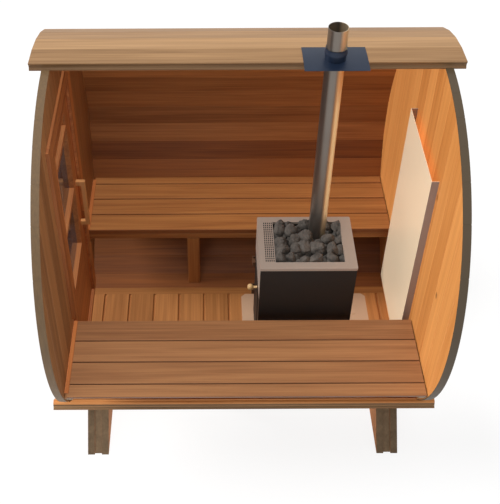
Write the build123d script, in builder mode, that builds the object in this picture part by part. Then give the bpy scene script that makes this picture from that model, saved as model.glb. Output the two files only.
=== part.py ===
from build123d import *
import os
from math import cos, radians, sin, sqrt, tan

# A barrel sauna shown as a cut-away: the near staves are missing from the crown to below the benches.
# X runs along the barrel with the door at its low end, Y points to the back, Z is up.
# The origin is on the ground under the middle of the whole.

# Barrel
stave_length = 1900.0
stave_thickness = 37.0
inner_radius = 901.0        # from the axis to the flat inner face of a stave
stave_pitch = 7.4           # degrees from stave to stave
roof_edge_angle = 91.8      # where the first stave starts, from +Y up over the crown
stave_gap = 0.4
bead_width = 24.0
bead_height = 6.0
group_count = {
    "roof_staves": 7,
    "upper_back_staves": 7,
    "lower_back_staves": 6,
    "bottom_staves": 7,
    "near_lower_staves": 4,
}

# End walls of vertical boards, standing in a groove round the staves
stave_overhang = 54.0       # staves beyond the outer face of each wall
wall_thickness = 36.0
croze_depth = 6.0
croze_clearance = 0.5
wall_board = 125.0
board_gap = 0.5
board_chamfer = 2.0

# Cradles under the barrel
cradle_from_wall = 107.0    # from a wall's inner face in to the middle of a cradle
cradle_ply = 36.0
cradle_ply_gap = 0.3
cradle_inset = 164.0        # how much less a cradle reaches than the barrel's inner radius
cradle_end_slope = 45.0
cradle_recess = 8.0         # how far the middle ply stops short
cradle_seat = 0.3
ground_clearance = 50.0     # under the lowest stave

# Floor
floor_height = 58.0         # top of the slats over the lowest inside point
slat_thickness = 20.0
slat_pitch = 145.0
slat_gap = 12.0
slat_start = 80.0           # first gap from the door wall
slat_chamfer = 1.5
rail_width = 50.0
runner_width = 45.0
runner_offset = 170.0
seat = 0.3                  # play between a piece and what it rests on or beside

# Benches
bench_height = 444.0        # over the floor
bench_fronts = {            # from the axis to each front edge
    "rear_bench": 345.0,
    "front_bench": 330.0,
}
bench_board = 130.0
bench_board_gap = 4.0
bench_board_thickness = 28.0
bench_chamfer = 2.0
bench_end_gap_door = 14.0
bench_end_gap = 5.0
fascia_height = 38.0
fascia_thickness = 28.0
cleat_width = 34.0
cleat_height = 45.0
post_width = 70.0
post_depth = 40.0
post_x = -258.0
post_chamfer = 3.0
barrel_play = 0.7           # between inside woodwork and the staves

# Doorway and door
doorway_inset = 23.0        # from the nearer bench front in to the doorway's side
doorway_low = 62.0          # over the lowest inside point
doorway_high = 1552.0
jamb_thickness = 20.0
casing_proud = 15.0
casing_width = 65.0
casing_chamfer = 3.0
stop_width = 12.0
stop_depth = 12.0
door_clearance = 5.5
door_thickness = 34.0
stile_width = 105.0
top_rail_height = 90.0
bottom_rail_height = 480.0
glass_thickness = 6.0
glass_play = 0.3
glass_setback = 26.0        # from the leaf's inner face
glass_rebate = 9.0          # how far the leaf laps over the glass all round
window_bars = (370.0, 770.0)  # undersides of the cross bars over the lowest pane's sill
window_bar = 22.0
hinge_offset = 12.0         # hinge axis outside the leaf's outer face
hinge_radius = 6.0
hinge_pin_radius = 3.5
hinge_height = 90.0
hinge_inset = 220.0
hinge_leaf_thickness = 2.5
hinge_leaf_width = 34.0
knuckle_play = 0.5
pin_play = 0.3              # round a pin, on every hinge
pull_length = 300.0
pull_width = 22.0
pull_standoff = 26.0
pull_foot = 24.0
pull_inset = 45.0
pull_chamfer = 4.0

# Stove
stove_wall_gap = 300.0      # from the rim to the end wall
stove_y = -90.0
stove_length = 475.0
stove_width = 372.0
stove_height = 757.0        # top of the rim over the floor plate
stove_leg_height = 50.0
stove_leg = 30.0
stove_sheet = 6.0
well_depth = 205.0
rim_thickness = 14.0
rim_overhang = 3.0
rim_corner = 9.0            # radius in plan
well_x = (-163.0, 182.0)    # from the stove's middle
well_y = (-232.0, 60.0)
grille_x = (-209.0, -179.0)
grille_rows = 12
grille_slot = (10.0, 12.0)
plate_x = (-301.0, 424.0)
plate_y = (-312.0, 258.0)
plate_thickness = 5.0
plate_corner = 22.0
stones_crown = 48.0
stones_play = 2.0           # between the heap and the rim or the flue
firedoor_inset = (86.0, 36.0)  # from the stove's near and far sides in to the door's edges
firedoor_low = 200.0        # over the floor plate
firedoor_height = 333.0
firedoor_thickness = 10.0
firedoor_proud = 3.0        # beyond the stove's side
firedoor_gap = 6.5          # round the door in the firebox mouth
firedoor_chamfer = 2.0
fire_hinge_offset = 12.5    # hinge axis beyond the door's far edge
fire_hinge_standoff = 14.0  # hinge axis outside the stove's side
fire_hinge_inset = 60.0
fire_strap = 26.0           # how far a hinge strap laps over the door
fire_hinge_radius = 7.0
fire_pin_radius = 4.0
fire_knuckle = 30.0
fire_lug = 8.0              # thickness of each lug that holds a pin
knob_radius = 17.0
knob_height = 494.0         # over the floor plate
knob_inset = 40.0
knob_stem_radius = 6.0
knob_stem = 18.0
knob_sides = 16             # flats round the knob

# Flue
flue_offset = 62.0          # from the stove's middle towards the end wall
flue_y = 2.0
flue_radius = 44.0
flue_wall = 2.0
flue_above_roof = 155.0
flue_socket = 100.0         # plain length over the bead, for a cap or a further pipe
flue_bead = (1.5, 6.0)      # how far it stands out, and its height
flue_play = 0.4
notch_play = 10.0
flashing_size = (282.0, 188.0)
flashing_thickness = 2.0
collar_height = 34.0
collar_wall = 2.0

# Heat shield on the end wall
shield_standoff = 35.0
shield_y = (-285.0, 275.0)
shield_low = 206.0          # over the lowest inside point
shield_height = 1173.0
shield_sheet = 2.0

# Sizes that follow
half_pitch = radians(stave_pitch / 2)
outer_radius = inner_radius + stave_thickness
outer_corner = outer_radius / cos(half_pitch)
disc_radius = inner_radius + croze_depth
stave_count = sum(group_count.values())
joints = [roof_edge_angle - stave_pitch * k for k in range(stave_count + 1)]
far_y = max(outer_corner * cos(radians(a)) for a in joints)
axis_y = (disc_radius - far_y) / 2
axis_z = ground_clearance + outer_corner
low_z = axis_z - inner_radius
wall_x = stave_length / 2 - stave_overhang - wall_thickness
wall_spacing = 2 * wall_x
frame_x = -wall_x - wall_thickness
floor_z = low_z + floor_height
bench_z = floor_z + bench_height
fit_radius = inner_radius - barrel_play
doorway_half = min(bench_fronts.values()) - doorway_inset
cradle_half_length = inner_radius - cradle_inset
stove_x = wall_x - stove_wall_gap - rim_overhang - stove_length / 2
flue_x = stove_x + flue_offset
well_middle = (stove_x + sum(well_x) / 2, axis_y + sum(well_y) / 2)
firedoor_width = stove_width - sum(firedoor_inset)
firedoor_y = (stove_y - stove_width / 2 + firedoor_inset[0], stove_y + stove_width / 2 - firedoor_inset[1])


def label_and_write(sub_part, name):
    sub_part.part.label = name
    export_step(sub_part.part, f"parts/{name}.step")


def barrel_plane(x):
    # a section across the barrel, with the axis at its origin
    return Plane(origin=(x, axis_y, axis_z), x_dir=(0, 1, 0), z_dir=(1, 0, 0))


def stave_plane(k):
    # local y runs outward through the middle of stave k, local x towards the next stave
    a = radians(roof_edge_angle - stave_pitch * (k + 0.5))
    return Plane(origin=(-stave_length / 2, axis_y, axis_z), x_dir=(0, sin(a), -cos(a)), z_dir=(1, 0, 0))


def side_point(r, side):
    # a point of the stave's radial side at height r from the axis
    return (side * (r * tan(half_pitch) - stave_gap / 2), r)


def inside_span(z):
    # half the width of the barrel's inside at a height
    return sqrt(fit_radius**2 - (z - axis_z) ** 2)


os.makedirs("parts", exist_ok=True)

# Staves: flat faces, a bead on one edge and a cove on the other, and a groove for each end wall
mid_r = inner_radius + stave_thickness / 2
r_low = mid_r - bead_width / 2
r_high = mid_r + bead_width / 2
bead_mid = Vector(*side_point(mid_r, 1)) + Vector(cos(half_pitch), -sin(half_pitch)) * bead_height
cove_mid = Vector(*side_point(mid_r, -1)) + Vector(cos(half_pitch), sin(half_pitch)) * bead_height
first = 0
for name, count in group_count.items():
    with BuildPart() as staves:
        for k in range(first, first + count):
            with BuildSketch(stave_plane(k)):
                with BuildLine():
                    Line(side_point(inner_radius, -1), side_point(inner_radius, 1))
                    Line(side_point(inner_radius, 1), side_point(r_low, 1))
                    ThreePointArc(side_point(r_low, 1), bead_mid, side_point(r_high, 1))
                    Line(side_point(r_high, 1), side_point(outer_radius, 1))
                    Line(side_point(outer_radius, 1), side_point(outer_radius, -1))
                    Line(side_point(outer_radius, -1), side_point(r_high, -1))
                    ThreePointArc(side_point(r_high, -1), cove_mid, side_point(r_low, -1))
                    Line(side_point(r_low, -1), side_point(inner_radius, -1))
                make_face()
            extrude(amount=stave_length)
        for x in (-wall_x - wall_thickness, wall_x):
            with BuildSketch(barrel_plane(x - croze_clearance)):
                Circle(disc_radius + croze_clearance)
            extrude(amount=wall_thickness + 2 * croze_clearance, mode=Mode.SUBTRACT)
        if name == "roof_staves":
            with BuildSketch(Plane.XY.offset(axis_z)):
                with Locations((flue_x, axis_y + flue_y)):
                    Circle(flue_radius + notch_play)
            extrude(amount=outer_radius + stave_thickness, mode=Mode.SUBTRACT)
    label_and_write(staves, name)
    first += count

# End walls: vertical boards cut to the round of the barrel, and one of them split round the doorway
board_rows = 2 * int(disc_radius // wall_board) + 3
full_height = (-disc_radius, disc_radius)
between_jambs = (-doorway_half + board_gap / 2, doorway_half - board_gap / 2)
wall_parts = {
    "end_wall": (wall_x, full_height, full_height),
    "door_wall_near": (frame_x, (-disc_radius, -doorway_half), full_height),
    "door_wall_far": (frame_x, (doorway_half, disc_radius), full_height),
    "door_wall_header": (frame_x, between_jambs, (doorway_high - inner_radius, disc_radius)),
    "door_wall_sill": (frame_x, between_jambs, (-disc_radius, doorway_low - inner_radius)),
}
for name, (x, (y0, y1), (z0, z1)) in wall_parts.items():
    with BuildPart() as wall:
        with BuildSketch(barrel_plane(x)):
            with GridLocations(wall_board, 0, board_rows, 1):
                Rectangle(wall_board - board_gap, 2 * disc_radius)
            Circle(disc_radius, mode=Mode.INTERSECT)
            with Locations(((y0 + y1) / 2, (z0 + z1) / 2)):
                Rectangle(y1 - y0, z1 - z0, mode=Mode.INTERSECT)
        extrude(amount=wall_thickness)
        chamfer(wall.edges().filter_by(Axis.Z), board_chamfer)
    label_and_write(wall, name)

# Cradles: three plies with sloping ends, hollowed to the barrel
cradle_width = 3 * cradle_ply + 2 * cradle_ply_gap
slope = tan(radians(cradle_end_slope))
for name, side in (("door_end_cradle", -1), ("stove_end_cradle", 1)):
    with BuildPart() as cradle:
        for ply in (-1, 0, 1):
            x = side * (wall_x - cradle_from_wall) + ply * (cradle_ply + cradle_ply_gap) - cradle_ply / 2
            half = cradle_half_length - (0 if ply else cradle_recess)
            with BuildSketch(barrel_plane(x)):
                with Locations((0, -axis_z)):
                    Trapezoid(2 * half, axis_z / 2, cradle_end_slope, align=(Align.CENTER, Align.MIN))
                Circle(outer_corner + cradle_seat, mode=Mode.SUBTRACT)
                with Locations((0, -axis_z)):
                    Rectangle(2 * half, axis_z / 2, align=(Align.CENTER, Align.MIN), mode=Mode.INTERSECT)
            extrude(amount=cradle_ply)
    label_and_write(cradle, name)

# Floor: slats across the barrel between two edge rails, on runners
rail_in = inside_span(floor_z) - rail_width
slat_count = int((wall_spacing - slat_start) // slat_pitch) + 2
with BuildPart() as floor_slats:
    with BuildSketch(barrel_plane(-wall_x + seat)):
        with Locations((0, floor_z - axis_z - slat_thickness / 2)):
            Rectangle(2 * (rail_in - seat), slat_thickness)
        Circle(fit_radius, mode=Mode.INTERSECT)
    extrude(amount=wall_spacing - 2 * seat)
    for k in range(slat_count):
        x = -wall_x + slat_start + k * slat_pitch
        with BuildSketch(barrel_plane(x - slat_gap / 2)):
            Rectangle(2 * disc_radius, 2 * disc_radius)
        extrude(amount=slat_gap, mode=Mode.SUBTRACT)
    chamfer(floor_slats.edges().filter_by(Axis.Y).group_by(Axis.Z)[-1], slat_chamfer)
label_and_write(floor_slats, "floor_slats")

with BuildPart() as floor_rails:
    with BuildSketch(barrel_plane(-wall_x + seat)):
        for s in (-1, 1):
            with Locations((s * (rail_in + rail_width / 2), floor_z - axis_z - slat_thickness / 2)):
                Rectangle(rail_width, slat_thickness)
        Circle(fit_radius, mode=Mode.INTERSECT)
    extrude(amount=wall_spacing - 2 * seat)
label_and_write(floor_rails, "floor_rails")

with BuildPart() as floor_runners:
    runner_top = floor_z - slat_thickness - seat
    with BuildSketch(barrel_plane(-wall_x + seat)):
        with Locations(*[(y, runner_top - axis_z) for y in (-runner_offset, 0, runner_offset)]):
            Rectangle(runner_width, floor_height, align=(Align.CENTER, Align.MAX))
        Circle(fit_radius, mode=Mode.INTERSECT)
    extrude(amount=wall_spacing - 2 * seat)
label_and_write(floor_runners, "floor_runners")

# Benches: boards on cleats, a fascia under the front edge, and a post
board_top = bench_z
board_low = bench_z - bench_board_thickness
bench_x0 = -wall_x + bench_end_gap_door
bench_x1 = wall_x - bench_end_gap
bench_sides = {"rear_bench": 1, "front_bench": -1}
for name, side in bench_sides.items():
    bench_front = bench_fronts[name]
    bench_span = inside_span(board_top) - bench_front
    bench_rows = int(bench_span // (bench_board + bench_board_gap)) + 1
    with BuildPart() as boards:
        with BuildSketch(barrel_plane(bench_x0)):
            for row in range(bench_rows):
                y = bench_front + row * (bench_board + bench_board_gap)
                with Locations((side * (y + bench_board / 2), board_top - axis_z)):
                    Rectangle(bench_board, bench_board_thickness, align=(Align.CENTER, Align.MAX))
            Circle(fit_radius, mode=Mode.INTERSECT)
        extrude(amount=bench_x1 - bench_x0)
        chamfer(boards.edges().filter_by(Axis.X).group_by(Axis.Z)[-1], bench_chamfer)
    label_and_write(boards, f"{name}_boards")

    with BuildPart() as fascia:
        with BuildSketch(barrel_plane(-wall_x + seat)):
            with Locations((side * (bench_front + seat + fascia_thickness / 2), board_low - seat - axis_z)):
                Rectangle(fascia_thickness, fascia_height, align=(Align.CENTER, Align.MAX))
        extrude(amount=wall_spacing - 2 * seat)
        chamfer(fascia.edges().filter_by(Axis.X), bench_chamfer)
    label_and_write(fascia, f"{name}_fascia")

    with BuildPart() as cleats:
        cleat_in = bench_front + 2 * seat + fascia_thickness
        for x in (-wall_x + seat, wall_x - seat - cleat_width):
            with BuildSketch(barrel_plane(x)):
                with Locations((side * (cleat_in + bench_span / 2), board_low - seat - axis_z)):
                    Rectangle(bench_span, cleat_height, align=(Align.CENTER, Align.MAX))
                Circle(fit_radius, mode=Mode.INTERSECT)
            extrude(amount=cleat_width)
    label_and_write(cleats, f"{name}_cleats")

    with BuildPart() as post:
        post_top = board_low - 2 * seat - fascia_height
        with BuildSketch(barrel_plane(post_x - post_width / 2)):
            with Locations((side * (bench_front + seat + post_depth / 2), post_top - axis_z)):
                Rectangle(post_depth, bench_height, align=(Align.CENTER, Align.MAX))
            Circle(fit_radius, mode=Mode.INTERSECT)
        extrude(amount=post_width)
        chamfer(post.edges().filter_by(Axis.Z), post_chamfer)
    label_and_write(post, f"{name}_post")

# Door frame: jambs, head and threshold lining the doorway, with a stop on the inside
door_low = low_z + doorway_low
door_high = low_z + doorway_high
door_middle = (door_low + door_high) / 2 - axis_z
frame_depth = wall_thickness + casing_proud
jamb_half = doorway_half - seat
clear_half = jamb_half - jamb_thickness
clear_height = door_high - door_low - 2 * seat - 2 * jamb_thickness
with BuildPart() as door_frame:
    with BuildSketch(barrel_plane(frame_x)):
        with Locations((0, door_middle)):
            Rectangle(2 * jamb_half, clear_height + 2 * jamb_thickness)
            Rectangle(2 * clear_half, clear_height, mode=Mode.SUBTRACT)
    extrude(amount=frame_depth)
    with BuildSketch(barrel_plane(frame_x + frame_depth - stop_depth)):
        with Locations((0, door_middle)):
            Rectangle(2 * clear_half, clear_height)
            Rectangle(2 * (clear_half - stop_width), clear_height - 2 * stop_width, mode=Mode.SUBTRACT)
    extrude(amount=stop_depth)
label_and_write(door_frame, "door_frame")

# Casing round the doorway on the inside, proud of the wall boards
with BuildPart() as door_casing:
    casing_out = doorway_half + casing_width
    opening_height = door_high - door_low + seat
    upright = (Align.CENTER, Align.MIN)
    with BuildSketch(barrel_plane(-wall_x + seat)):
        with Locations((0, door_low - axis_z)):
            Rectangle(2 * casing_out, opening_height + casing_width, align=upright)
            Rectangle(2 * (doorway_half + seat), opening_height, align=upright, mode=Mode.SUBTRACT)
        Circle(fit_radius, mode=Mode.INTERSECT)
        for name, side in bench_sides.items():
            with Locations((side * (bench_fronts[name] + disc_radius / 2 - seat), board_low - axis_z)):
                Rectangle(disc_radius, 4 * cleat_height, mode=Mode.SUBTRACT)
    extrude(amount=casing_proud - seat)
    casing_face = door_casing.faces().sort_by(Axis.X)[-1]
    chamfer(casing_face.edges().filter_by(GeomType.LINE), casing_chamfer)
label_and_write(door_casing, "door_casing")

# Door leaf: stiles and rails round a window of three lights, with the glass let in from the outside
leaf_x = frame_x
leaf_half = clear_half - door_clearance
leaf_low = door_low + seat + jamb_thickness + door_clearance
leaf_high = door_high - seat - jamb_thickness - door_clearance
glass_half = leaf_half - stile_width
glass_low = leaf_low + bottom_rail_height
glass_high = leaf_high - top_rail_height
glass_middle = (glass_low + glass_high) / 2 - axis_z
glass_height = glass_high - glass_low
with BuildPart() as door_leaf:
    with BuildSketch(barrel_plane(leaf_x)):
        with Locations((0, (leaf_low + leaf_high) / 2 - axis_z)):
            Rectangle(2 * leaf_half, leaf_high - leaf_low)
        with Locations((0, glass_middle)):
            Rectangle(2 * glass_half, glass_height, mode=Mode.SUBTRACT)
        for bar_low in window_bars:
            with Locations((0, glass_low + bar_low - axis_z)):
                Rectangle(2 * glass_half, window_bar, align=(Align.CENTER, Align.MIN))
    extrude(amount=door_thickness)
    with BuildSketch(barrel_plane(leaf_x)):
        with Locations((0, glass_middle)):
            Rectangle(2 * (glass_half + glass_rebate), glass_height + 2 * glass_rebate)
    extrude(amount=door_thickness - glass_setback, mode=Mode.SUBTRACT)
label_and_write(door_leaf, "door_leaf")

pane_inset = glass_rebate - glass_play
with BuildPart() as door_glass:
    with BuildSketch(barrel_plane(leaf_x + door_thickness - glass_setback - glass_play - glass_thickness)):
        with Locations((0, glass_middle)):
            Rectangle(2 * (glass_half + pane_inset), glass_height + 2 * pane_inset)
    extrude(amount=glass_thickness)
label_and_write(door_glass, "door_glass")

# Hinges: pins and outer knuckles on the jamb, middle knuckles on the leaf
hinge_x = frame_x - hinge_offset
hinge_y = axis_y - clear_half + door_clearance / 2
hinge_zs = (leaf_low + hinge_inset, leaf_high - hinge_inset)
knuckle = hinge_height / 3
web_start = hinge_pin_radius + 2 * pin_play
web_width = hinge_offset - web_start - seat
with BuildPart() as hinge_frame_halves:
    for z in hinge_zs:
        for part_of in (-1, 1):
            z0 = z + part_of * knuckle - knuckle / 2
            with BuildSketch(Plane.XY.offset(z0)):
                with Locations((hinge_x, hinge_y)):
                    Circle(hinge_radius)
                with Locations((hinge_x, hinge_y - knuckle_play)):
                    Rectangle(hinge_offset - seat, hinge_leaf_thickness, align=(Align.MIN, Align.MAX))
            extrude(amount=knuckle)
        with BuildSketch(Plane.XY.offset(z - hinge_height / 2)):
            with Locations((hinge_x, hinge_y)):
                Circle(hinge_pin_radius)
        extrude(amount=hinge_height)
        with BuildSketch(Plane.XY.offset(z - hinge_height / 2)):
            with Locations((frame_x - seat, hinge_y - knuckle_play)):
                Rectangle(hinge_leaf_thickness, hinge_leaf_width, align=(Align.MAX, Align.MAX))
        extrude(amount=hinge_height)
        with BuildSketch(Plane.XY.offset(z - knuckle / 2 - knuckle_play)):
            with Locations((hinge_x, hinge_y)):
                Circle(hinge_radius + door_clearance / 2)
                Circle(hinge_pin_radius, mode=Mode.SUBTRACT)
        extrude(amount=knuckle + 2 * knuckle_play, mode=Mode.SUBTRACT)
label_and_write(hinge_frame_halves, "hinge_frame_halves")

with BuildPart() as hinge_leaf_halves:
    for z in hinge_zs:
        with BuildSketch(Plane.XY.offset(z - knuckle / 2)):
            with Locations((hinge_x, hinge_y)):
                Circle(hinge_radius)
                Circle(hinge_pin_radius + pin_play, mode=Mode.SUBTRACT)
            with Locations((hinge_x + web_start, hinge_y + knuckle_play)):
                Rectangle(web_width, hinge_leaf_thickness, align=(Align.MIN, Align.MIN))
            with Locations((frame_x - seat, hinge_y + knuckle_play)):
                Rectangle(hinge_leaf_thickness, hinge_leaf_width, align=(Align.MAX, Align.MIN))
        extrude(amount=knuckle)
label_and_write(hinge_leaf_halves, "hinge_leaf_halves")

# Pulls: a bar on two feet on each face of the leaf
pull_y = axis_y + leaf_half - pull_inset
pull_z = (leaf_low + leaf_high) / 2
pull_places = {"outer_pull": (leaf_x - seat, -1), "inner_pull": (leaf_x + door_thickness + seat, 1)}
for name, (face, way) in pull_places.items():
    with BuildPart() as pull:
        with BuildSketch(Plane.XZ.offset(-pull_y - pull_width / 2)):
            with Locations((face + way * (pull_standoff + pull_width) / 2, pull_z)):
                Rectangle(pull_standoff + pull_width, pull_length)
            with Locations((face + way * pull_standoff / 2, pull_z)):
                Rectangle(pull_standoff, pull_length - 2 * pull_foot, mode=Mode.SUBTRACT)
        extrude(amount=pull_width)
        bar_edges = pull.edges().filter_by(Axis.Z).sort_by(Axis.X, reverse=way > 0)
        chamfer(bar_edges[:2], pull_chamfer)
    label_and_write(pull, name)

# Stove: a steel body with a firebox below and a well for stones above, on four legs
plate_z = floor_z + seat
base_z = plate_z + plate_thickness + seat
rim_top = base_z + stove_height
body_low = base_z + stove_leg_height + seat
body_high = rim_top - rim_thickness - seat
well_floor = rim_top - well_depth
stove_cy = axis_y + stove_y
body_x0 = stove_x - stove_length / 2
with BuildPart() as stove_body:
    with BuildSketch(Plane.XY.offset(body_low)):
        with Locations((stove_x, stove_cy)):
            Rectangle(stove_length, stove_width)
    extrude(amount=body_high - body_low)
    with BuildSketch(Plane.XY.offset(well_floor)):
        with Locations((stove_x, stove_cy)):
            Rectangle(stove_length - 2 * stove_sheet, stove_width - 2 * stove_sheet)
    extrude(amount=well_depth, mode=Mode.SUBTRACT)
    with BuildSketch(Plane.XY.offset(body_low + stove_sheet)):
        with Locations((stove_x, stove_cy)):
            Rectangle(stove_length - 2 * stove_sheet, stove_width - 2 * stove_sheet)
    extrude(amount=well_floor - body_low - 2 * stove_sheet, mode=Mode.SUBTRACT)
    with BuildSketch(Plane.YZ.offset(body_x0 - stove_sheet)):
        with Locations((axis_y + sum(firedoor_y) / 2, base_z + firedoor_low + firedoor_height / 2)):
            Rectangle(firedoor_width + 2 * firedoor_gap, firedoor_height + 2 * firedoor_gap)
    extrude(amount=2 * stove_sheet, mode=Mode.SUBTRACT)
    with BuildSketch(Plane.XY.offset(well_floor - 2 * stove_sheet)):
        with Locations((flue_x, axis_y + flue_y)):
            Circle(flue_radius - flue_wall)
    extrude(amount=3 * stove_sheet, mode=Mode.SUBTRACT)
label_and_write(stove_body, "stove_body")

with BuildPart() as stove_legs:
    with BuildSketch(Plane.XY.offset(base_z)):
        with Locations((stove_x, stove_cy)):
            with GridLocations(stove_length - 2 * stove_leg, stove_width - 2 * stove_leg, 2, 2):
                Rectangle(stove_leg, stove_leg)
    extrude(amount=stove_leg_height)
label_and_write(stove_legs, "stove_legs")

with BuildPart() as stove_rim:
    with BuildSketch(Plane.XY.offset(rim_top - rim_thickness)):
        with Locations((stove_x, stove_cy)):
            RectangleRounded(stove_length + 2 * rim_overhang, stove_width + 2 * rim_overhang, rim_corner)
        with Locations(well_middle):
            Rectangle(well_x[1] - well_x[0], well_y[1] - well_y[0], mode=Mode.SUBTRACT)
        with Locations((stove_x + sum(grille_x) / 2, well_middle[1])):
            with GridLocations(
                grille_x[1] - grille_x[0] - grille_slot[0],
                (well_y[1] - well_y[0]) / grille_rows,
                2,
                grille_rows,
            ):
                Rectangle(*grille_slot, mode=Mode.SUBTRACT)
    extrude(amount=rim_thickness)
label_and_write(stove_rim, "stove_rim")

# Stones: one heap with a crowned top, with the flue passing through it
heap_size = (well_x[1] - well_x[0] - 2 * stones_play, well_y[1] - well_y[0] - 2 * stones_play)
with BuildPart() as stove_stones:
    with BuildSketch(Plane.XY.offset(well_floor + seat)):
        with Locations(well_middle):
            Rectangle(*heap_size)
    extrude(amount=well_depth - seat)
    with BuildSketch(Plane.XY.offset(rim_top)):
        with Locations(well_middle):
            Rectangle(*heap_size)
    extrude(amount=stones_crown, taper=45)
    with BuildSketch(Plane.XY.offset(well_floor)):
        with Locations((flue_x, axis_y + flue_y)):
            Circle(flue_radius + stones_play)
    extrude(amount=well_depth + 2 * stones_crown, mode=Mode.SUBTRACT)
label_and_write(stove_stones, "stove_stones")

with BuildPart() as stove_floor_plate:
    with BuildSketch(Plane.XY.offset(plate_z)):
        with Locations((stove_x + sum(plate_x) / 2, axis_y + sum(plate_y) / 2)):
            plate = Rectangle(plate_x[1] - plate_x[0], plate_y[1] - plate_y[0])
        chamfer(plate.vertices(), plate_corner)
    extrude(amount=plate_thickness)
label_and_write(stove_floor_plate, "stove_floor_plate")

# Firebox door set in the mouth on the side that faces the entrance, on two strap hinges
firedoor_x = body_x0 - firedoor_proud
firedoor_z = base_z + firedoor_low
fire_hinge_y = axis_y + firedoor_y[1] + fire_hinge_offset
fire_hinge_x = body_x0 - fire_hinge_standoff
fire_hinge_zs = (firedoor_z + fire_hinge_inset, firedoor_z + firedoor_height - fire_hinge_inset)
fire_pin = fire_knuckle + 2 * fire_lug + 4 * knuckle_play
strap_reach = fire_hinge_standoff - firedoor_proud + seat
with BuildPart() as firebox_door:
    with BuildSketch(Plane.YZ.offset(firedoor_x)):
        with Locations((axis_y + sum(firedoor_y) / 2, firedoor_z + firedoor_height / 2)):
            Rectangle(firedoor_width, firedoor_height)
    extrude(amount=firedoor_thickness)
    chamfer(firebox_door.faces().sort_by(Axis.X)[0].edges(), firedoor_chamfer)
    for z in fire_hinge_zs:
        with BuildSketch(Plane.XY.offset(z - fire_knuckle / 2)):
            with Locations((fire_hinge_x, fire_hinge_y)):
                Circle(fire_hinge_radius)
                Rectangle(fire_lug, fire_hinge_offset + fire_strap, align=(Align.CENTER, Align.MAX))
            with Locations((fire_hinge_x, fire_hinge_y - fire_hinge_offset - firedoor_chamfer)):
                Rectangle(strap_reach, fire_strap - firedoor_chamfer, align=(Align.MIN, Align.MAX))
        extrude(amount=fire_knuckle)
        with BuildSketch(Plane.XY.offset(z - fire_knuckle / 2)):
            with Locations((fire_hinge_x, fire_hinge_y)):
                Circle(fire_pin_radius + pin_play)
        extrude(amount=fire_knuckle, mode=Mode.SUBTRACT)
label_and_write(firebox_door, "firebox_door")

# The knob has a stem and a head of flats, as long as it is wide and an octagon from the side
knob_y = axis_y + firedoor_y[0] + knob_inset
knob_z = base_z + knob_height
knob_plane = Plane(origin=(firedoor_x - seat, knob_y, knob_z), z_dir=(-1, 0, 0))
with BuildPart() as firebox_knob:
    with BuildSketch(knob_plane.offset(knob_stem)):
        RegularPolygon(knob_radius, knob_sides)
    extrude(amount=2 * knob_radius)
    chamfer(firebox_knob.faces().filter_by(Axis.X).edges(), knob_radius * (2 - sqrt(2)))
    with BuildSketch(knob_plane):
        RegularPolygon(knob_stem_radius, knob_sides)
    extrude(amount=knob_stem)
label_and_write(firebox_knob, "firebox_knob")

with BuildPart() as stove_hinge_pins:
    for z in fire_hinge_zs:
        with BuildSketch(Plane.XY.offset(z - fire_pin / 2)):
            with Locations((fire_hinge_x, fire_hinge_y)):
                Circle(fire_pin_radius)
        extrude(amount=fire_pin)
        for z0 in (z - fire_pin / 2, z + fire_pin / 2 - fire_lug):
            with BuildSketch(Plane.XY.offset(z0)):
                with Locations((fire_hinge_x, fire_hinge_y)):
                    Circle(fire_hinge_radius)
                    Rectangle(body_x0 - seat - fire_hinge_x, fire_lug, align=(Align.MIN, Align.CENTER))
            extrude(amount=fire_lug)
label_and_write(stove_hinge_pins, "stove_hinge_pins")

# Flue pipe from the firebox through the roof, open at the top
flue_top = axis_z + outer_radius + flue_above_roof
with BuildPart() as flue_pipe:
    with BuildSketch(Plane.XY.offset(well_floor + seat)):
        with Locations((flue_x, axis_y + flue_y)):
            Circle(flue_radius)
            Circle(flue_radius - flue_wall, mode=Mode.SUBTRACT)
    extrude(amount=flue_top - well_floor - seat)
    with BuildSketch(Plane.XY.offset(flue_top - flue_socket - flue_bead[1])):
        with Locations((flue_x, axis_y + flue_y)):
            Circle(flue_radius + flue_bead[0])
            Circle(flue_radius - flue_wall / 2, mode=Mode.SUBTRACT)
    extrude(amount=flue_bead[1])
label_and_write(flue_pipe, "flue_pipe")

# Flashing: a sheet bent over the crown with a collar round the flue
flashing_in = outer_corner + seat
with BuildPart() as roof_flashing:
    with BuildSketch(barrel_plane(flue_x - flashing_size[0] / 2)):
        Circle(flashing_in + flashing_thickness)
        Circle(flashing_in, mode=Mode.SUBTRACT)
        with Locations((flue_y, outer_radius)):
            Rectangle(flashing_size[1], 4 * stave_thickness, mode=Mode.INTERSECT)
    extrude(amount=flashing_size[0])
    with BuildSketch(Plane.XY.offset(axis_z + flashing_in - 2 * flashing_thickness)):
        with Locations((flue_x, axis_y + flue_y)):
            Circle(flue_radius + flue_play + collar_wall)
    extrude(amount=collar_height)
    with BuildSketch(Plane.XY.offset(axis_z)):
        with Locations((flue_x, axis_y + flue_y)):
            Circle(flue_radius + flue_play)
    extrude(amount=2 * outer_radius, mode=Mode.SUBTRACT)
label_and_write(roof_flashing, "roof_flashing")

# Heat shield: a sheet bent back to the wall along both upright edges
with BuildPart() as heat_shield:
    with BuildSketch(Plane.XY.offset(low_z + shield_low)):
        with Locations((wall_x - seat, axis_y + sum(shield_y) / 2)):
            Rectangle(shield_standoff - seat, shield_y[1] - shield_y[0], align=(Align.MAX, Align.CENTER))
            Rectangle(
                shield_standoff - seat - shield_sheet,
                shield_y[1] - shield_y[0] - 2 * shield_sheet,
                align=(Align.MAX, Align.CENTER),
                mode=Mode.SUBTRACT,
            )
    extrude(amount=shield_height)
label_and_write(heat_shield, "heat_shield")
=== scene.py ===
"""Finishes and small pieces of a cut-away barrel sauna, laid out as an add-on and run as a script."""

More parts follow.
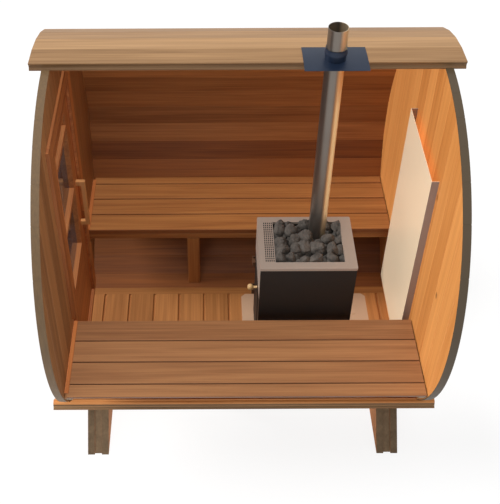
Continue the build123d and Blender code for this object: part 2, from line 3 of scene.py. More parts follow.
import math
from functools import partial

import bpy
import numpy as np
from bpy.props import FloatProperty, FloatVectorProperty, IntProperty, PointerProperty
from mathutils import Matrix, Vector


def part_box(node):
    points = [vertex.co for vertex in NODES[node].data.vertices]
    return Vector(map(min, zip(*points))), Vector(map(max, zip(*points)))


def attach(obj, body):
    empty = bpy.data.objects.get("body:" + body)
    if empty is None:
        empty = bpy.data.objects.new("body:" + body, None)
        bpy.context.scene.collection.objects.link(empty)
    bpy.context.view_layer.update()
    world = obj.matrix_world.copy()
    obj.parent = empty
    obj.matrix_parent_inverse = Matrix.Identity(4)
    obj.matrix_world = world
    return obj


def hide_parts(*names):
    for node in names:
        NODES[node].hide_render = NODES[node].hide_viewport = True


bl_info = {
    "name": "Cut-away barrel sauna",
    "version": (1, 0, 0),
    "blender": (4, 5, 0),
    "location": "View3D > Sidebar > Sauna",
    "description": "Gives a barrel sauna its woods, metals, stones and fixings",
    "category": "Object",
}

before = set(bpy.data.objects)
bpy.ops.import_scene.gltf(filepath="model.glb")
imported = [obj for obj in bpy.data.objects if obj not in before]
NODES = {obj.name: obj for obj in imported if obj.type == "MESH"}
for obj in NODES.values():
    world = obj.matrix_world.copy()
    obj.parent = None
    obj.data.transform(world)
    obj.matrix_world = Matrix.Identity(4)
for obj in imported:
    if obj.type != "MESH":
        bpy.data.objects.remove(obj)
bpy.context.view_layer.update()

MM = 0.001
STAVE_PITCH = math.radians(7.4)
ROOF_EDGE = math.radians(91.8)


def middle(node):
    """The middle of a node's box."""
    low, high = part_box(node)
    return (low + high) / 2


def half_width(node):
    """Half of a node's box across the barrel."""
    low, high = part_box(node)
    return (high.y - low.y) / 2


def pipe_radius():
    """The flue's outer radius."""
    low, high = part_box("flue_pipe")
    return (high.x - low.x) / 2


# The barrel's axis, and the faces that the small pieces sit on
AXIS = middle("end_wall")
CROZE = 6 * MM
INNER_RADIUS = (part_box("end_wall")[1].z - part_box("end_wall")[0].z) / 2 - CROZE
WALL_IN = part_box("end_wall")[0].x
STAVE = 37 * MM
WALL = 36 * MM
WALL_BOARD = 125 * MM
BENCH_PITCH = 134 * MM
SLAT_PITCH = 145 * MM
FIRST_SLAT = 80 * MM
CRADLE_PLY = 36.3 * MM
JAMB = 20 * MM
GLASS_LAP = 8.7 * MM


def linear(hex_colour):
    """sRGB hex to linear: c/12.92 below 0.04045, else ((c + 0.055)/1.055)^2.4."""
    c = np.array([int(hex_colour[i : i + 2], 16) for i in (1, 3, 5)]) / 255
    return tuple(np.where(c <= 0.04045, c / 12.92, ((c + 0.055) / 1.055) ** 2.4)) + (1.0,)


def colour_property(name, description, hex_colour):
    """A colour that a user may change, with its default as sRGB hex."""
    return FloatVectorProperty(
        name=name, description=description, subtype="COLOR", size=4, min=0, max=1, default=linear(hex_colour)
    )


def add_node(tree, kind, inputs=None, **settings):
    """Adds a node with its settings, links inputs that are sockets, sets any other, and gives its outputs."""
    made = tree.nodes.new(kind)
    for key, value in settings.items():
        setattr(made, key, value)
    for key, value in (inputs or {}).items():
        if isinstance(value, bpy.types.NodeSocket):
            tree.links.new(value, made.inputs[key])
        else:
            made.inputs[key].default_value = value
    return made.outputs


def new_material(name):
    """A material with an empty tree but for its output, and the function that adds nodes to it."""
    material = bpy.data.materials.new(name)
    material.use_nodes = True
    material.node_tree.nodes.clear()
    return material, partial(add_node, material.node_tree)


def dress(node_names, material):
    """Gives a material to CAD nodes as their only one."""
    for name in node_names:
        slots = NODES[name].data.materials
        slots.clear()
        slots.append(material)


def new_piece(name, points, faces, material, body, slot, smooth=False):
    """A mesh object from whole arrays, which rides on a body and takes its finish from a slot."""
    mesh = bpy.data.meshes.new(name)
    mesh.from_pydata(points.tolist(), [], faces.tolist())
    mesh.shade_smooth() if smooth else mesh.shade_flat()
    mesh.materials.append(material)
    piece = bpy.data.objects.new(name, mesh)
    bpy.context.scene.collection.objects.link(piece)
    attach(piece, body)
    return piece


def grid_faces(rows, columns, start=0):
    """Quads of a grid of rows by columns points whose columns close on themselves."""
    r, c = np.meshgrid(np.arange(rows - 1), np.arange(columns), indexing="ij")
    a = r * columns + c
    b = r * columns + (c + 1) % columns
    return start + np.stack([a, b, b + columns, a + columns], -1).reshape(-1, 4)


def turned(profile, sides):
    """A profile of (radius, height) points turned about Z: (r cos t, r sin t, h), t in steps of a turn."""
    t = np.arange(sides) * 2 * math.pi / sides
    r, h = np.array(profile).T
    ring = np.stack([np.cos(t), np.sin(t)], -1)
    flat = r[:, None, None] * ring[None]
    return np.concatenate([flat, np.broadcast_to(h[:, None, None], flat.shape[:2] + (1,))], -1).reshape(-1, 3)


def placed(points, at, way):
    """Points whose Z turns to the direction way, moved to at."""
    turn = np.array(Vector(way).to_track_quat("Z", "Y").to_matrix())
    return points @ turn.T + np.array(at)


# Woods


def step(add, value, edge):
    """1 where a value is over an edge, else 0."""
    return add("ShaderNodeMath", {0: value, 1: edge}, operation="GREATER_THAN")[0]


def object_axes(add):
    """The part's own X, Y and Z, with Y and Z also measured from the barrel's axis."""
    x, y, z = add("ShaderNodeSeparateXYZ", {0: add("ShaderNodeTexCoord")["Object"]})
    side = add("ShaderNodeMath", {0: y, 1: AXIS.y}, operation="SUBTRACT")[0]
    up = add("ShaderNodeMath", {0: z, 1: AXIS.z}, operation="SUBTRACT")[0]
    return x, y, z, side, up


def from_axis(add, side, up):
    """Distance from the barrel's axis: the root of side squared plus up squared."""
    squares = add("ShaderNodeMath", {0: side, 1: side}, operation="MULTIPLY")[0]
    squares = add("ShaderNodeMath", {0: up, 1: up, 2: squares}, operation="MULTIPLY_ADD")[0]
    return add("ShaderNodeMath", {0: squares}, operation="SQRT")[0]


def facing_axis(add, axis, limit=0.85):
    """1 on faces that look along an axis."""
    facing = add("ShaderNodeSeparateXYZ", {0: add("ShaderNodeNewGeometry")["True Normal"]})[axis]
    facing = add("ShaderNodeMath", {0: facing}, operation="ABSOLUTE")[0]
    return step(add, facing, limit)


def board_number(add, value, start, pitch):
    """Counts boards: the floor of (value - start)/pitch."""
    number = add("ShaderNodeMath", {0: value, 1: start}, operation="SUBTRACT")[0]
    number = add("ShaderNodeMath", {0: number, 1: pitch}, operation="DIVIDE")[0]
    return add("ShaderNodeMath", {0: number}, operation="FLOOR")[0]


def stave_layout(add, edge_from=3 * MM):
    """Staves: grain along X, width as the angle round the axis times the radius, one board to a pitch."""
    x, _, _, side, up = object_axes(add)
    angle = add("ShaderNodeMath", {0: up, 1: side}, operation="ARCTAN2")[0]
    across = add("ShaderNodeMath", {0: angle, 1: INNER_RADIUS}, operation="MULTIPLY")[0]
    depth = from_axis(add, side, up)
    turn = add("ShaderNodeMath", {0: ROOF_EDGE, 1: angle}, operation="SUBTRACT")[0]
    return {
        "place": (x, across, depth),
        "board": board_number(add, turn, 0.0, STAVE_PITCH),
        # Painted shade: the staves' cut edges, from the given depth off the inner face outwards, take the
        # darker edge tones
        "edge": step(add, depth, INNER_RADIUS + edge_from),
        # Outer faces take the pale outside tone; the warmer inner tones are painted warm light bounced inside
        # the barrel, on one and the same wood
        "outside": step(add, depth, INNER_RADIUS + STAVE - 2 * MM),
        "ends": facing_axis(add, "X"),
    }


def wall_layout(add):
    """End walls: upright boards, the outer half in the pale outside tone and the inner faces warmer, which is
    painted warm bounce light, with their sawn round edge as end grain.
    """
    x, _, z, side, up = object_axes(add)
    far = add("ShaderNodeMath", {0: x}, operation="ABSOLUTE")[0]
    return {
        "place": (z, side, x),
        "board": board_number(add, side, -WALL_BOARD / 2, WALL_BOARD),
        "outside": step(add, far, WALL_IN + WALL / 2),
        "ends": step(add, from_axis(add, side, up), INNER_RADIUS + 3 * MM),
    }


def straight_layout(
    add, along="X", across="Y", pitch=4.0, start=-2.0, centre=None, ends=True, level=False
):
    """Straight boards, counted across them, from a centre line outwards where one is given. The edges of
    level boards are all that doesn't look up or down."""
    axes = dict(zip("XYZ", object_axes(add)))
    over = axes[across]
    if centre is not None:
        over = add("ShaderNodeMath", {0: over, 1: centre}, operation="SUBTRACT")[0]
        over = add("ShaderNodeMath", {0: over}, operation="ABSOLUTE")[0]
    rest = ({"X", "Y", "Z"} - {along, across}).pop()
    edge = 0.0
    if level:
        edge = add("ShaderNodeMath", {0: 1.0, 1: facing_axis(add, "Z")}, operation="SUBTRACT")[0]
    return {
        "place": (axes[along], axes[across], axes[rest]),
        "board": board_number(add, over, start, pitch),
        "ends": facing_axis(add, along) if ends else 0.0,
        "edge": edge,
    }


def ply_layout(add, pitch):
    """Cradles: three plies side by side along X with level grain, and the broad sides of the outer two."""
    x, y, z, _, _ = object_axes(add)
    far = add("ShaderNodeMath", {0: x}, operation="ABSOLUTE")[0]
    cradle_middle = middle("stove_end_cradle").x
    return {
        "place": (y, z, x),
        "board": board_number(add, far, cradle_middle - pitch / 2, pitch),
        "edge": facing_axis(add, "X"),
    }


def frame_layout(add, half):
    """Stiles and rails: upright grain beyond a half width, and level grain between."""
    x, y, z, side, _ = object_axes(add)
    out = add("ShaderNodeMath", {0: side}, operation="ABSOLUTE")[0]
    stile = step(add, out, half)
    row = board_number(add, z, 0.0, 0.4)
    hand = add("ShaderNodeMath", {0: step(add, side, 0.0), 1: 11.0}, operation="ADD")[0]
    return {
        "place": (
            add("ShaderNodeMix", {0: stile, 2: y, 3: z})[0],
            add("ShaderNodeMix", {0: stile, 2: z, 3: y})[0],
            x,
        ),
        "board": add("ShaderNodeMix", {0: stile, 2: row, 3: hand})[0],
    }


def per_metre(*lengths):
    """Scale of a texture whose features have these lengths, in metres."""
    return tuple(1 / length for length in lengths)


def wood(name, layout, tones, seed, spread=0.6, roughness=0.55, knots=0.12, contrast=1.3):
    """Planed softwood. The eye sees long streaks of early and late wood, a tone of its own for each board,
    now and then a small knot, and darker sawn ends. The streaks are 9 mm apart, coarser than real rings,
    to show."""
    material, add = new_material(name)
    shape = layout(add)
    along, across, depth = shape["place"]
    seeded = add("ShaderNodeMath", {0: shape["board"], 1: seed}, operation="ADD")[0]
    own = add("ShaderNodeTexWhiteNoise", {"W": seeded}, noise_dimensions="1D")["Value"]
    slide = add("ShaderNodeMath", {0: own, 1: 41.0, 2: along}, operation="MULTIPLY_ADD")[0]
    place = add("ShaderNodeCombineXYZ", {0: slide, 1: across, 2: depth})[0]

    broad_at = add("ShaderNodeMapping", {"Vector": place, "Scale": per_metre(0.9, 0.034, 0.05)})[0]
    soft = {"Vector": broad_at, "Scale": 1.0, "Detail": 2.0, "Distortion": 0.6}
    broad = add("ShaderNodeTexNoise", soft)[0]
    streak_at = add("ShaderNodeMapping", {"Vector": place, "Scale": per_metre(0.5, 0.009, 0.012)})[0]
    fine = {"Vector": streak_at, "Scale": 1.0, "Detail": 3.0, "Roughness": 0.6}
    streak = add("ShaderNodeTexNoise", fine)[0]
    level = {0: broad, 1: 0.9 * contrast, 2: 0.5 - 0.85 * contrast}
    amount = add("ShaderNodeMath", level, operation="MULTIPLY_ADD")[0]
    amount = add("ShaderNodeMath", {0: streak, 1: 0.8 * contrast, 2: amount}, operation="MULTIPLY_ADD")[0]
    shade = add("ShaderNodeMath", {0: own, 1: spread, 2: -spread / 2}, operation="MULTIPLY_ADD")[0]
    amount = add("ShaderNodeMath", {0: amount, 1: shade}, operation="ADD", use_clamp=True)[0]

    def pair(tone):
        return add("ShaderNodeMix", {0: amount, 6: tones[tone][0], 7: tones[tone][1]}, data_type="RGBA")[2]

    colour = pair("face")
    # On staves the edge tone is painted shade and the warmer inner tones painted bounce light; on bench
    # boards the edge tone is painted shade on their sides; on cradles it is their broad sides
    for part_of in ("edge", "outside"):
        if part_of in shape and part_of in tones:
            other = {0: shape[part_of], 6: colour, 7: pair(part_of)}
            colour = add("ShaderNodeMix", other, data_type="RGBA")[2]

    knot_at = add("ShaderNodeMapping", {"Vector": place, "Scale": (0.62, 1.0, 0.0)})[0]
    cells = add("ShaderNodeTexVoronoi", {"Vector": knot_at, "Scale": 3.4}, voronoi_dimensions="2D")
    near = {"Value": cells["Distance"], "From Min": 0.05, "From Max": 0.02, "To Min": 0.0, "To Max": 0.8}
    knot = add("ShaderNodeMapRange", near)[0]
    knot = add("ShaderNodeMath", {0: knot, 1: step(add, cells["Color"], 1 - knots)}, operation="MULTIPLY")[0]
    brown = tuple(c * 0.4 for c in tones["face"][1][:3]) + (1.0,)
    colour = add("ShaderNodeMix", {0: knot, 6: colour, 7: brown}, data_type="RGBA")[2]

    if "ends" in shape and "ends" in tones:
        rings_at = add("ShaderNodeMapping", {"Vector": place, "Scale": per_metre(0.125, 0.012, 0.007)})[0]
        rings = add("ShaderNodeTexNoise", {"Vector": rings_at, "Scale": 1.0, "Detail": 2.0})[0]
        sawn = add("ShaderNodeMix", {0: rings, 6: tones["ends"][0], 7: tones["ends"][1]}, data_type="RGBA")[2]
        colour = add("ShaderNodeMix", {0: shape["ends"], 6: colour, 7: sawn}, data_type="RGBA")[2]

    relief = add("ShaderNodeMath", {0: knot, 1: -0.6, 2: streak}, operation="MULTIPLY_ADD")[0]
    normal = add("ShaderNodeBump", {"Height": relief, "Strength": 0.3, "Distance": 0.5 * MM})[0]
    rough = add("ShaderNodeMath", {0: streak, 1: 0.2, 2: roughness - 0.1}, operation="MULTIPLY_ADD")[0]
    gloss = {"Base Color": colour, "Roughness": rough, "Normal": normal, "IOR": 1.45}
    shader = add("ShaderNodeBsdfPrincipled", gloss)[0]
    add("ShaderNodeOutputMaterial", {"Surface": shader})
    return material


class SaunaWoods(bpy.types.PropertyGroup):
    """Colours of the woods, each as early wood and late wood."""

    # The outside tones; the warmer inner tones below stand for painted warm bounce light on the same wood
    roof_pale: colour_property("Outside, pale", "Early wood of the outer faces", "#B88E60")
    roof_dark: colour_property("Outside, dark", "Late wood of the outer faces", "#84603A")
    # Painted shade: the staves' cut edges take darker tones than their faces
    edge_pale: colour_property("Stave edges, pale", "Cut edges towards the outside", "#8A6640")
    edge_dark: colour_property("Stave edges, dark", "Cut edges towards the outside", "#624628")
    stave_pale: colour_property("Staves, pale", "Early wood of the inner faces", "#B67A46")
    stave_dark: colour_property("Staves, dark", "Late wood of the inner faces", "#804E28")
    # Painted shade: the lower staves under and behind the rear bench take darker tones than the staves above
    low_shaded_pale: colour_property("Lower staves, pale", "Early wood under and behind the rear bench", "#925420")
    low_shaded_dark: colour_property("Lower staves, dark", "Late wood under and behind the rear bench", "#66340E")
    # Painted light: the lowest staves and the inner part of their cut edge take brighter tones of the same
    # spruce
    lip_lit_pale: colour_property("Lowest staves, pale", "Early wood beyond the front bench", "#E09C5C")
    lip_lit_dark: colour_property("Lowest staves, dark", "Late wood beyond the front bench", "#C0783A")
    rear_pale: colour_property("Rear bench, pale", "Early wood", "#B27840")
    rear_dark: colour_property("Rear bench, dark", "Late wood", "#7C461E")
    front_pale: colour_property("Front bench, pale", "Early wood", "#AC7A4E")
    front_dark: colour_property("Front bench, dark", "Late wood", "#784C2C")
    floor_pale: colour_property("Floor, pale", "Early wood", "#BE8048")
    floor_dark: colour_property("Floor, dark", "Late wood", "#8E5A2C")
    # Lit and shaded copies of one spruce: beyond what the lamps do, the stove wall is painted lighter and the
    # door wall darker
    right_pale: colour_property("Stove wall, pale", "Early wood", "#E09A54")
    right_dark: colour_property("Stove wall, dark", "Late wood", "#BC7636")
    left_pale: colour_property("Door wall, pale", "Early wood", "#A87446")
    left_dark: colour_property("Door wall, dark", "Late wood", "#744C2A")
    door_pale: colour_property("Door, pale", "Early wood", "#C47E46")
    door_dark: colour_property("Door, dark", "Late wood", "#8A4E28")
    pull_pale: colour_property("Pulls, pale", "Oiled birch", "#D29A62")
    pull_dark: colour_property("Pulls, dark", "Oiled birch", "#A87040")
    rim_tan: colour_property("Sawn rim, door end, pale", "Round edge of the door wall", "#7E6240")
    rim_left: colour_property("Sawn rim, door end", "Round edge of the door wall", "#5E4A34")
    rim_right: colour_property("Sawn rim, stove end", "Round edge of the stove wall", "#4E402D")
    ends_pale: colour_property("Sawn ends, pale", "End grain", "#9A7C54")
    ends_dark: colour_property("Sawn ends, dark", "End grain", "#5E4A30")
    side_pale: colour_property("Cradle sides, pale", "Planed broad faces", "#D08C54")
    side_dark: colour_property("Cradle sides, dark", "Planed broad faces", "#AC6C3A")
    cradle_pale: colour_property("Cradles, pale", "Sawn faces of the outer plies", "#786248")
    cradle_dark: colour_property("Cradles, dark", "Streaks and the middle ply", "#56442E")


def tones_of(look, **names):
    """Pairs of colours by their names in the group."""
    return {key: tuple(tuple(getattr(look, n)) for n in pair) for key, pair in names.items()}


STAVE_NODES = ("roof_staves", "upper_back_staves")
LOW_STAVE_NODES = ("lower_back_staves", "bottom_staves")
DOOR_WALL_NODES = ("door_wall_near", "door_wall_far", "door_wall_header", "door_wall_sill")


class SAUNA_OT_barrel(bpy.types.Operator):
    """Give the staves, end walls and cradles their woods"""

    bl_idname = "sauna.barrel"
    bl_label = "Barrel"

    def execute(self, context):
        look = context.scene.sauna_woods
        outside = ("roof_pale", "roof_dark")
        sawn = ("ends_pale", "ends_dark")
        # The edge tones are painted shade on the staves' cut edges
        edge = ("edge_pale", "edge_dark")
        staves = tones_of(look, face=("stave_pale", "stave_dark"), edge=edge, outside=outside, ends=sawn)
        dress(STAVE_NODES, wood("planed spruce staves", stave_layout, staves, seed=3.0, knots=0.05))
        # Painted shade under and behind the rear bench: the lower staves take darker tones of the same spruce
        staves["face"] = tones_of(look, face=("low_shaded_pale", "low_shaded_dark"))["face"]
        dress(LOW_STAVE_NODES, wood("planed spruce lower staves", stave_layout, staves, seed=5.0, knots=0.05))
        # Painted light and shade on the near edge: its inner part takes the bright lowest-stave tones, and
        # from 68 percent of the stave's thickness outwards it takes the dark edge tones
        lowest = partial(stave_layout, edge_from=0.68 * STAVE)
        near = staves | tones_of(look, face=("lip_lit_pale", "lip_lit_dark"))
        dress(("near_lower_staves",), wood("planed spruce lowest staves", lowest, near, seed=4.0, knots=0.0))
        rim = ("rim_right", "rim_right")
        # Painted light on the stove wall and painted shade on the door wall, as lighter and darker copies of
        # one spruce
        right = tones_of(look, face=("right_pale", "right_dark"), outside=outside, ends=rim)
        dress(("end_wall",), wood("planed spruce stove wall", wall_layout, right, seed=17.0, contrast=1.0))
        rim = ("rim_tan", "rim_left")
        left = tones_of(look, face=("left_pale", "left_dark"), outside=outside, ends=rim)
        dress(DOOR_WALL_NODES, wood("planed spruce door wall", wall_layout, left, seed=23.0, contrast=1.0))
        plies = partial(ply_layout, pitch=CRADLE_PLY)
        cradle = tones_of(look, face=("cradle_pale", "cradle_dark"), edge=("side_pale", "side_dark"))
        dress(
            ("door_end_cradle", "stove_end_cradle"),
            wood("sawn larch cradles", plies, cradle, seed=12.0, spread=0.5, roughness=0.75, knots=0.0),
        )
        return {"FINISHED"}


class SAUNA_OT_joinery(bpy.types.Operator):
    """Give the benches, floor and door their woods"""

    bl_idname = "sauna.joinery"
    bl_label = "Benches, floor and door"

    def execute(self, context):
        look = context.scene.sauna_woods
        for side, seed in (("rear", 29.0), ("front", 43.0)):
            tones = tones_of(look, face=(f"{side}_pale", f"{side}_dark"), ends=("ends_pale", "ends_dark"))
            # Painted shade: every face of the bench boards that doesn't look up or down takes the dark
            # late-wood tone
            arris = tones_of(look, edge=(f"{side}_dark", f"{side}_dark"))
            front = bench_front(side)
            rows = partial(
                straight_layout, pitch=BENCH_PITCH, start=front - 2 * MM, centre=AXIS.y, level=True
            )
            named = f"planed aspen {side} bench boards"
            boards = wood(named, rows, tones | arris, seed=seed, spread=0.35, contrast=1.2)
            dress((f"{side}_bench_boards",), boards)
            level = partial(straight_layout, along="X", across="Z")
            fascia = wood(f"planed aspen {side} bench edge", level, tones, seed=seed + 1)
            dress((f"{side}_bench_fascia",), fascia)
            cleats = partial(straight_layout, along="Y", across="Z")
            dress((f"{side}_bench_cleats",), wood(f"sawn {side} bench cleats", cleats, tones, seed=seed + 2))
            upright = partial(straight_layout, along="Z", across="X")
            post = wood(f"planed aspen {side} bench post", upright, tones, seed=seed + 3)
            dress((f"{side}_bench_post",), post)
        floor = tones_of(look, face=("floor_pale", "floor_dark"), ends=("ends_pale", "ends_dark"))
        first = -WALL_IN + FIRST_SLAT
        slats = partial(straight_layout, along="Y", across="X", pitch=SLAT_PITCH, start=first)
        dress(("floor_slats",), wood("planed aspen floor slats", slats, floor, seed=61.0, spread=0.35))
        runners = partial(straight_layout, along="X", across="Y", pitch=0.2, start=-0.1)
        dress(("floor_rails", "floor_runners"), wood("planed aspen floor rails", runners, floor, seed=9.0))
        door = tones_of(look, face=("door_pale", "door_dark"))
        leaf = partial(frame_layout, half=half_width("door_glass") - GLASS_LAP)
        dress(("door_leaf",), wood("planed spruce door", leaf, door, seed=33.0, knots=0.05))
        jambs = partial(frame_layout, half=half_width("door_frame") - JAMB)
        dress(("door_frame",), wood("planed spruce door frame", jambs, door, seed=2.0))
        casing = partial(frame_layout, half=half_width("door_frame"))
        dress(("door_casing",), wood("planed spruce door casing", casing, door, seed=6.0))
        pulls = tones_of(look, face=("pull_pale", "pull_dark"))
        upright = partial(straight_layout, along="Z", across="X", ends=False)
        dress(
            ("outer_pull", "inner_pull"),
            wood("oiled birch pulls", upright, pulls, seed=51.0, roughness=0.4, knots=0.0),
        )
        return {"FINISHED"}


def bench_front(side):
    """How far a bench's front edge is from the axis."""
    low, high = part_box(f"{side}_bench_boards")
    return low.y - AXIS.y if side == "rear" else AXIS.y - high.y


# Metals, enamel, glass and stone


def metal(name, colour, roughness, metallic=1.0, brushed=0.0, coat=0.0, wear=0.0, other=None):
    """Sheet metal. The eye sees soft, slightly uneven reflections, with fine upright lines where it is
    brushed. An other finish is a colour and the function that gives its mask."""
    material, add = new_material(name)
    place = add("ShaderNodeTexCoord")["Object"]
    cloud = add("ShaderNodeTexNoise", {"Vector": place, "Scale": 9.0, "Detail": 4.0})[0]
    lines_at = add("ShaderNodeMapping", {"Vector": place, "Scale": (1 / 0.003, 1 / 0.003, 1 / 0.4)})[0]
    lines = add("ShaderNodeTexNoise", {"Vector": lines_at, "Scale": 1.0, "Detail": 2.0})[0]
    rough = add("ShaderNodeMath", {0: cloud, 1: 0.14, 2: roughness - 0.07}, operation="MULTIPLY_ADD")[0]
    rough = add("ShaderNodeMath", {0: lines, 1: brushed, 2: rough}, operation="MULTIPLY_ADD")[0]
    dull = tuple(c * (1 - wear) for c in colour[:3]) + (1.0,)
    tint = add("ShaderNodeMix", {0: cloud, 6: colour, 7: dull}, data_type="RGBA")[2]
    if other:
        tint = add("ShaderNodeMix", {0: other[1](add), 6: tint, 7: other[0]}, data_type="RGBA")[2]
    height = add("ShaderNodeMath", {0: lines, 1: brushed}, operation="MULTIPLY")[0]
    normal = add("ShaderNodeBump", {"Height": height, "Strength": 0.2, "Distance": 0.3 * MM})[0]
    settings = {"Base Color": tint, "Metallic": metallic, "Roughness": rough, "Normal": normal}
    if coat:
        settings["Coat Weight"] = coat
        settings["Coat Roughness"] = 0.15
    shader = add("ShaderNodeBsdfPrincipled", settings)[0]
    add("ShaderNodeOutputMaterial", {"Surface": shader})
    return material


def painted_reflection_side(add):
    """Painted reflection of the cream shield and stove wall on the flue: 0 on its door-wall side to 1 towards
    the stove wall, by how far along X it faces.
    """
    x = object_axes(add)[0]
    pipe, radius = middle("flue_pipe").x, pipe_radius()
    span = {"Value": x, "From Min": pipe + 0.12 * radius, "From Max": pipe + 0.5 * radius}
    return add("ShaderNodeMapRange", span, interpolation_type="SMOOTHSTEP")[0]


def proud_of(add, edge):
    """1 where X is under an edge, on what stands out from the stove towards the door wall."""
    x = object_axes(add)[0]
    return add("ShaderNodeMath", {0: x, 1: edge}, operation="LESS_THAN")[0]


def pane(name, colour):
    """Float glass, 6 mm. The eye sees a faint blue-grey body and sharp reflections."""
    material, add = new_material(name)
    shader = add(
        "ShaderNodeBsdfPrincipled",
        {"Base Color": colour, "Roughness": 0.05, "IOR": 1.45, "Transmission Weight": 0.6},
    )[0]
    add("ShaderNodeOutputMaterial", {"Surface": shader})
    return material


def split_stone(name, pale, dark):
    """Split olivine. The eye sees matt dark grey faces, mottled with paler patches."""
    material, add = new_material(name)
    place = add("ShaderNodeTexCoord")["Object"]
    mottle = add("ShaderNodeTexNoise", {"Vector": place, "Scale": 26.0, "Detail": 6.0, "Roughness": 0.7})[0]
    grit = add("ShaderNodeTexNoise", {"Vector": place, "Scale": 260.0, "Detail": 3.0})[0]
    amount = add("ShaderNodeMath", {0: mottle, 1: 1.6, 2: -0.4}, operation="MULTIPLY_ADD", use_clamp=True)[0]
    colour = add("ShaderNodeMix", {0: amount, 6: dark, 7: pale}, data_type="RGBA")[2]
    normal = add("ShaderNodeBump", {"Height": grit, "Strength": 0.6, "Distance": 1.0 * MM})[0]
    shader = add("ShaderNodeBsdfPrincipled", {"Base Color": colour, "Roughness": 0.85, "Normal": normal})[0]
    add("ShaderNodeOutputMaterial", {"Surface": shader})
    return material


class SaunaMetals(bpy.types.PropertyGroup):
    """Colours of the metals, enamel, glass and stone."""

    stove: colour_property("Stove", "Heat-proof matt black of the stove", "#080605")
    rim: colour_property("Rim", "Brushed steel round the stones", "#AC9E92")
    flue: colour_property("Flue", "Polished stainless steel", "#7E766E")
    # Painted reflection: the pale colour on the flue's stove-wall side stands for the lit shield and wall
    # that it mirrors
    warm_reflection: colour_property("Flue, straw side", "Heat tint towards the stove wall", "#DCC6A4")
    flashing: colour_property("Flashing", "Coated sheet round the flue", "#18263C")
    knuckle: colour_property("Hinge knuckles", "Bronzed steel of the firebox door's hinges", "#5A3A24")
    cut_edge: colour_property("Shield's edge", "Bare folded edge of the heat shield", "#8E807A")
    enamel: colour_property("Enamel", "Cream enamel of the heat shield", "#FFE8C6")
    floor_sheet: colour_property("Floor plate", "Cream enamel under the stove", "#CDAA8C")
    glass: colour_property("Glass", "Body colour of the pane", "#3E4852")
    stone_pale: colour_property("Stone, pale", "Worn corners of the stones", "#6A625A")
    stone_dark: colour_property("Stone, dark", "Split faces of the stones", "#221E1B")


class SAUNA_OT_metals(bpy.types.Operator):
    """Give the stove, flue, shield, ironwork and glass their finishes"""

    bl_idname = "sauna.metals"
    bl_label = "Metals and glass"

    def execute(self, context):
        look = context.scene.sauna_metals
        black = metal("heat-proof black steel", tuple(look.stove), 0.55, metallic=0.0, wear=0.3)
        dress(("stove_body", "stove_legs", "hinge_frame_halves", "hinge_leaf_halves"), black)
        bronze = tuple(look.knuckle)
        proud = partial(proud_of, edge=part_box("stove_hinge_pins")[1].x - 3 * MM)
        door = metal("black steel door, bronzed hinges", tuple(look.stove), 0.55, 0.0, other=(bronze, proud))
        dress(("firebox_door",), door)
        dress(("stove_hinge_pins",), metal("bronzed hinge pins", bronze, 0.5, metallic=0.2, wear=0.2))
        rim = metal("brushed stainless rim", tuple(look.rim), 0.45, metallic=0.35, brushed=0.15, wear=0.1)
        dress(("stove_rim",), rim)
        # Painted reflection of the shield and stove wall on the flue's side towards them
        warm_reflection = (tuple(look.warm_reflection), painted_reflection_side)
        steel = tuple(look.flue)
        flue = metal("polished stainless flue", steel, 0.28, 0.85, brushed=0.1, wear=0.1, other=warm_reflection)
        dress(("flue_pipe",), flue)
        flashing = metal("coated steel flashing", tuple(look.flashing), 0.4, metallic=0.3, wear=0.25)
        dress(("roof_flashing",), flashing)
        cut = (tuple(look.cut_edge), partial(facing_axis, axis="Y"))
        cream = tuple(look.enamel)
        enamel = metal("cream enamelled steel shield", cream, 0.35, 0.0, coat=0.4, wear=0.04, other=cut)
        dress(("heat_shield",), enamel)
        cream = tuple(look.floor_sheet)
        plate = metal("cream enamelled floor plate", cream, 0.3, metallic=0.0, coat=0.5, wear=0.08)
        dress(("stove_floor_plate",), plate)
        dress(("door_glass",), pane("float glass", tuple(look.glass)))
        return {"FINISHED"}


class SaunaStones(bpy.types.PropertyGroup):
    """Sizes of the stove's stones."""

    spacing: FloatProperty(
        name="Spacing", description="From stone to stone", subtype="DISTANCE", default=62 * MM, min=0.02
    )
    smallest: FloatProperty(
        name="Smallest", description="Half the smallest stone", subtype="DISTANCE", default=27 * MM, min=0.01
    )
    largest: FloatProperty(
        name="Largest", description="Half the largest stone", subtype="DISTANCE", default=43 * MM, min=0.01
    )
    flats: IntProperty(name="Flats", description="Flat faces split on each stone", default=13, min=6)
    seed: IntProperty(name="Seed", description="Start of the random draws", default=11)


STONE_ROWS = 11
STONE_COLUMNS = 16


def stone_points(rng, flats, rows=STONE_ROWS, columns=STONE_COLUMNS):
    """A split stone: along direction d its radius is the least of h_k/(d . n_k) over random planes k."""
    t = np.linspace(0, math.pi, rows)
    f = np.arange(columns) * 2 * math.pi / columns
    sine, cosine = np.sin(t)[:, None], np.cos(t)[:, None]
    d = np.stack([sine * np.cos(f), sine * np.sin(f), np.broadcast_to(cosine, (rows, columns))], -1)
    normals = rng.normal(size=(flats, 3))
    normals /= np.linalg.norm(normals, axis=1, keepdims=True)
    reach = rng.uniform(0.72, 1.0, flats)
    facing = np.maximum(d @ normals.T, 1e-3)
    radius = np.minimum((reach / facing).min(-1), 1.15)
    chips = rng.uniform(0.93, 1.04, radius.shape)
    chips[[0, -1]] = 1.0
    radius = radius * chips
    return (d * radius[..., None]).reshape(-1, 3)


